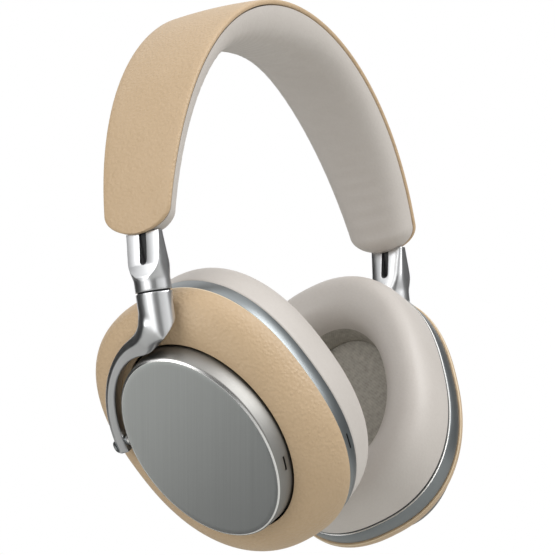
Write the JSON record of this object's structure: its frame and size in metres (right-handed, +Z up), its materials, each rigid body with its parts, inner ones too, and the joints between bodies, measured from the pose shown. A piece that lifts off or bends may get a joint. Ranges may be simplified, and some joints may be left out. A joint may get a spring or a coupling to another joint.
{
  "type": "over-ear headphones",
  "caption": "Over-ear headphones with a leather-covered padded headband, sliding arms, swivelling cast yokes and tilting oval ear cups with soft cushions, buttons and a charging socket.",
  "frame": {"origin": "under the crown of the headband pad, where it rests on a head or on a stand", "axes": "+Z up, -Y to the wearer's front, -X to the wearer's right"},
  "size_m": [0.1742, 0.079, 0.1871],
  "materials": {
    "tan_leather": "fine grained tan leather",
    "grey_leatherette": "soft smooth leatherette",
    "cast_aluminium": "polished die casting",
    "plate_aluminium": "fine brushed face, bright chamfer",
    "ring_plastic": "satin dark grey moulding",
    "control_plastic": "satin dark grey moulding",
    "black_plastic": "black moulded plastic",
    "washer_nylon": "black nylon",
    "steel": "plain steel",
    "acoustic_cloth": "fine acoustic weave",
    "cone_fibre": "pressed fibre cone",
    "circuit_laminate": "solder resist",
    "cell_foil": "foil pouch",
    "light_pipe": "frosted light pipe",
    "bush_aluminium": "turned bush"
  },
  "bodies": {
    "headband": {"headband_cover": "tan_leather", "headband_spring": "steel", "headband_core": "black_plastic", "headband_pad": "grey_leatherette", "guide_screws": "steel", "slider_guide_left": "black_plastic", "slider_guide_right": "black_plastic"},
    "right_slider": {"slider_arm_right": "cast_aluminium", "slider_rail_right": "black_plastic", "swivel_pin_right": "steel", "swivel_washer_right": "washer_nylon"},
    "right_yoke": {"yoke_right": "cast_aluminium", "tilt_pin_right": "steel"},
    "right_cup": {"tilt_bush_right": "bush_aluminium", "cup_shell_right": "tan_leather", "oval_plate_right": "plate_aluminium", "cup_ring_right": "ring_plastic", "chassis_right": "black_plastic", "baffle_right": "black_plastic", "driver_basket_right": "black_plastic", "driver_magnet_right": "steel", "driver_cone_right": "cone_fibre", "acoustic_fabric_right": "acoustic_cloth", "cushion_base_right": "black_plastic", "ear_cushion_right": "grey_leatherette", "circuit_board_right": "circuit_laminate", "chassis_screws_right": "steel", "usb_socket": "steel", "status_light": "light_pipe"},
    "left_slider": {"slider_arm_left": "cast_aluminium", "slider_rail_left": "black_plastic", "swivel_pin_left": "steel", "swivel_washer_left": "washer_nylon"},
    "left_yoke": {"yoke_left": "cast_aluminium", "tilt_pin_left": "steel"},
    "left_cup": {"tilt_bush_left": "bush_aluminium", "cup_shell_left": "tan_leather", "oval_plate_left": "plate_aluminium", "cup_ring_left": "ring_plastic", "chassis_left": "black_plastic", "baffle_left": "black_plastic", "driver_basket_left": "black_plastic", "driver_magnet_left": "steel", "driver_cone_left": "cone_fibre", "acoustic_fabric_left": "acoustic_cloth", "cushion_base_left": "black_plastic", "ear_cushion_left": "grey_leatherette", "circuit_board_left": "circuit_laminate", "chassis_screws_left": "steel", "battery": "cell_foil"},
    "volume_up": {"volume_up_button": "control_plastic"},
    "play": {"play_button": "control_plastic"},
    "volume_down": {"volume_down_button": "control_plastic"},
    "quick": {"quick_button": "control_plastic"},
    "power": {"power_switch": "control_plastic"}
  },
  "joints": [
    {"name": "right_slide", "type": "slide", "parent": "headband", "child": "right_slider", "axis": [-0.366, 0, -0.9306], "range_m": [0, 0.022]},
    {"name": "right_swivel", "type": "hinge", "parent": "right_slider", "child": "right_yoke", "pos_m": [-0.08113, -0.001, -0.08613], "axis": [-0.0523, 0, 0.9986], "range_deg": [-10, 90]},
    {"name": "right_tilt", "type": "hinge", "parent": "right_yoke", "child": "right_cup", "pos_m": [-0.06395, 0.02786, -0.13158], "axis": [0.1379, 0.9489, -0.2839], "range_deg": [0, 18]},
    {"name": "left_slide", "type": "slide", "parent": "headband", "child": "left_slider", "axis": [0.366, 0, -0.9306], "range_m": [0, 0.022]},
    {"name": "left_swivel", "type": "hinge", "parent": "left_slider", "child": "left_yoke", "pos_m": [0.08113, -0.001, -0.08613], "axis": [-0.0523, 0, -0.9986], "range_deg": [-10, 90]},
    {"name": "left_tilt", "type": "hinge", "parent": "left_yoke", "child": "left_cup", "pos_m": [0.06395, 0.02786, -0.13158], "axis": [0.1379, -0.9489, 0.2839], "range_deg": [0, 18]},
    {"name": "volume_up_press", "type": "slide", "parent": "right_cup", "child": "volume_up", "axis": [-0.1379, -0.9489, 0.2839], "range_m": [0, 0.0006], "stiffness_N_per_m": 2000, "springref_m": -0.0003},
    {"name": "play_press", "type": "slide", "parent": "right_cup", "child": "play", "axis": [-0.1379, -0.9489, 0.2839], "range_m": [0, 0.0006], "stiffness_N_per_m": 2000, "springref_m": -0.0003},
    {"name": "volume_down_press", "type": "slide", "parent": "right_cup", "child": "volume_down", "axis": [-0.1379, -0.9489, 0.2839], "range_m": [0, 0.0006], "stiffness_N_per_m": 2000, "springref_m": -0.0003},
    {"name": "quick_press", "type": "slide", "parent": "left_cup", "child": "quick", "axis": [0.1379, -0.9489, 0.2839], "range_m": [0, 0.0006], "stiffness_N_per_m": 2000, "springref_m": -0.0003},
    {"name": "power_slide", "type": "slide", "parent": "right_cup", "child": "power", "axis": [0.4145, -0.3156, -0.8536], "range_m": [0, 0.002]}
  ]
}
